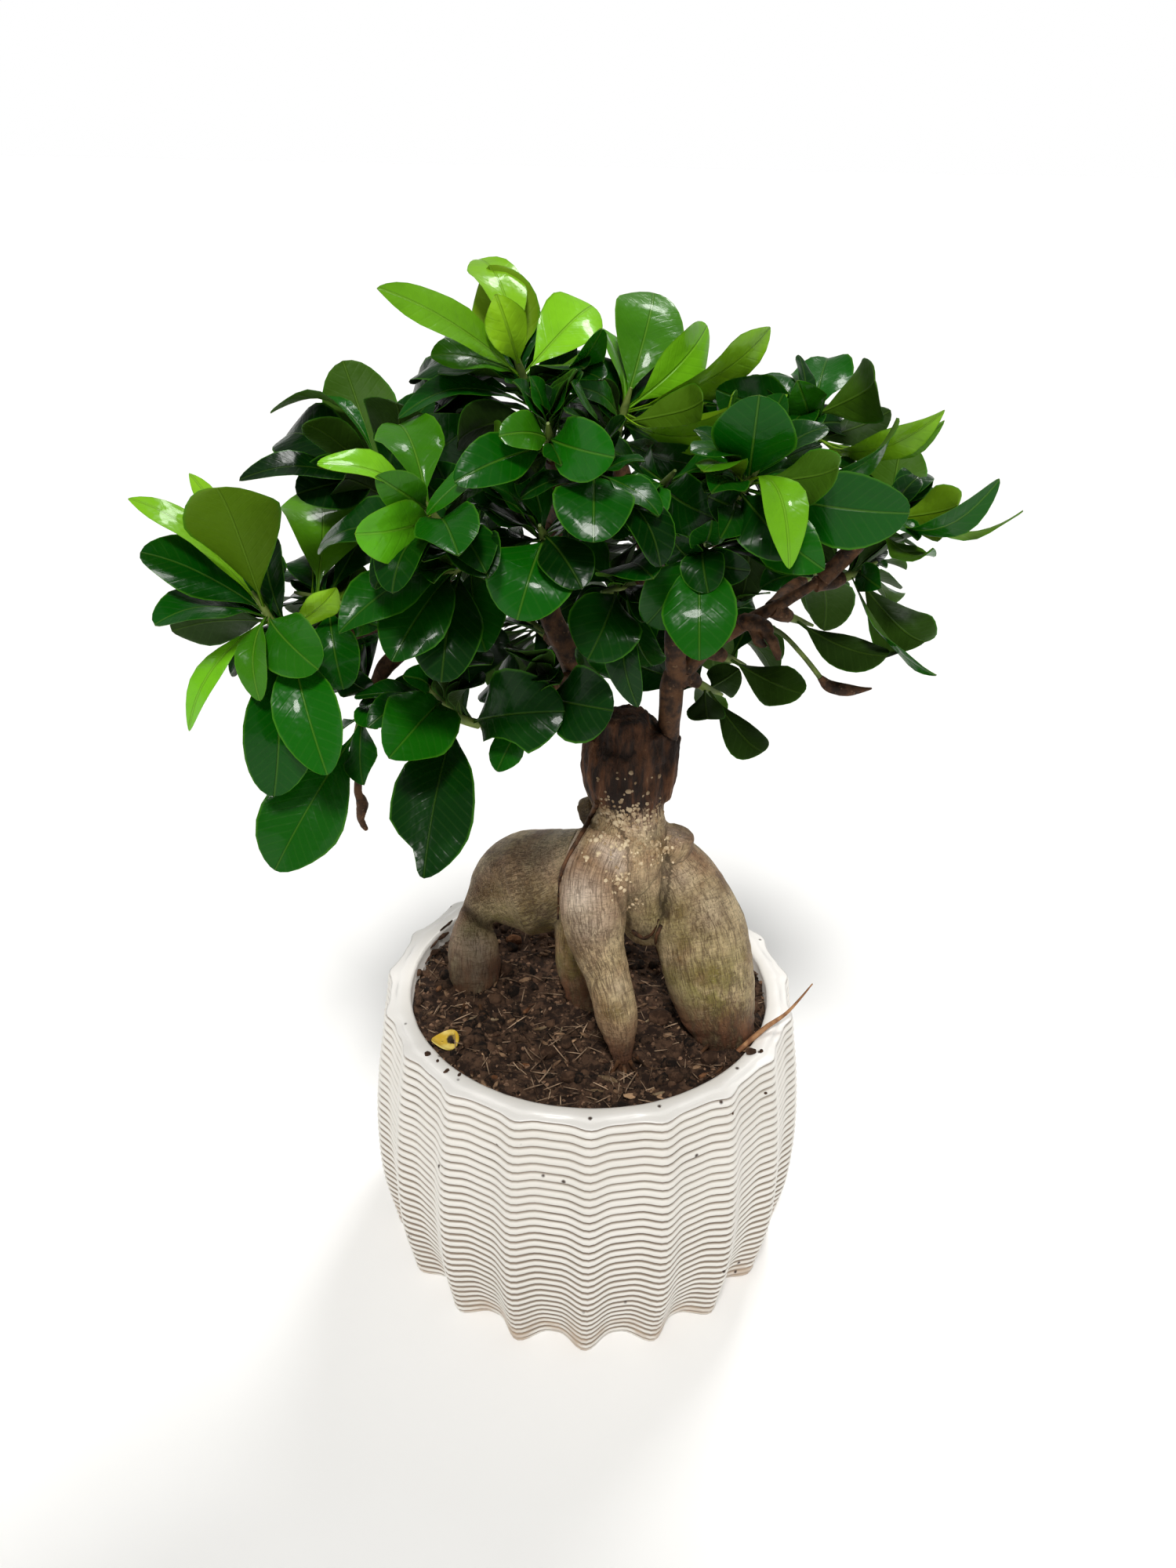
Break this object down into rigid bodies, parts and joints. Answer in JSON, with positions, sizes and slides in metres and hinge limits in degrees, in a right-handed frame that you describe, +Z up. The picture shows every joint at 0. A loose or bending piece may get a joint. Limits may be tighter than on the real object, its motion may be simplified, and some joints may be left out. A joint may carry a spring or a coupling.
{
  "type": "potted ficus ginseng bonsai",
  "caption": "Small ficus with swollen roots, a short cut trunk and a spreading crown of glossy leaves, standing in soil in a round fluted and ribbed white pot.",
  "frame": {"origin": "centre of the pot's underside, on the surface that it stands on", "axes": "+Z up, -Y towards the viewer of the picture, +X to the viewer's right"},
  "size_m": [0.2507, 0.1629, 0.3509],
  "materials": {
    "white_glaze": "satin",
    "potting_soil": "matte",
    "bark": "matte",
    "leaf_green": "gloss",
    "dry_leaf": "matte",
    "straw": "matte"
  },
  "bodies": {
    "root": {"pot": "white_glaze", "soil": "potting_soil", "trunk_and_roots": "bark", "fallen_leaf": "dry_leaf", "dry_stalk": "straw", "leaf_right_arm_inner": "leaf_green", "leaf_right_arm_outer": "leaf_green", "shoot_back_centre": "leaf_green", "shoot_back_fork": "leaf_green", "shoot_back_left": "leaf_green", "shoot_back_left_low": "leaf_green", "shoot_back_middle": "leaf_green", "shoot_back_right": "leaf_green", "shoot_back_right_arm": "leaf_green", "shoot_centre": "leaf_green", "shoot_centre_left": "leaf_green", "shoot_centre_right": "leaf_green", "shoot_far_left": "leaf_green", "shoot_far_left_inner": "leaf_green", "shoot_left_front": "leaf_green", "shoot_left_hanging": "leaf_green", "shoot_left_low": "leaf_green", "shoot_left_middle": "leaf_green", "shoot_left_upper": "leaf_green", "shoot_low_middle": "leaf_green", "shoot_middle_front": "leaf_green", "shoot_near_trunk": "leaf_green", "shoot_right_end": "leaf_green", "shoot_right_front": "leaf_green", "shoot_right_inner": "leaf_green", "shoot_right_low": "leaf_green", "shoot_right_upper": "leaf_green", "shoot_top_left": "leaf_green", "shoot_top_right": "leaf_green", "shoot_upper_front": "leaf_green"}
  },
  "joints": []
}
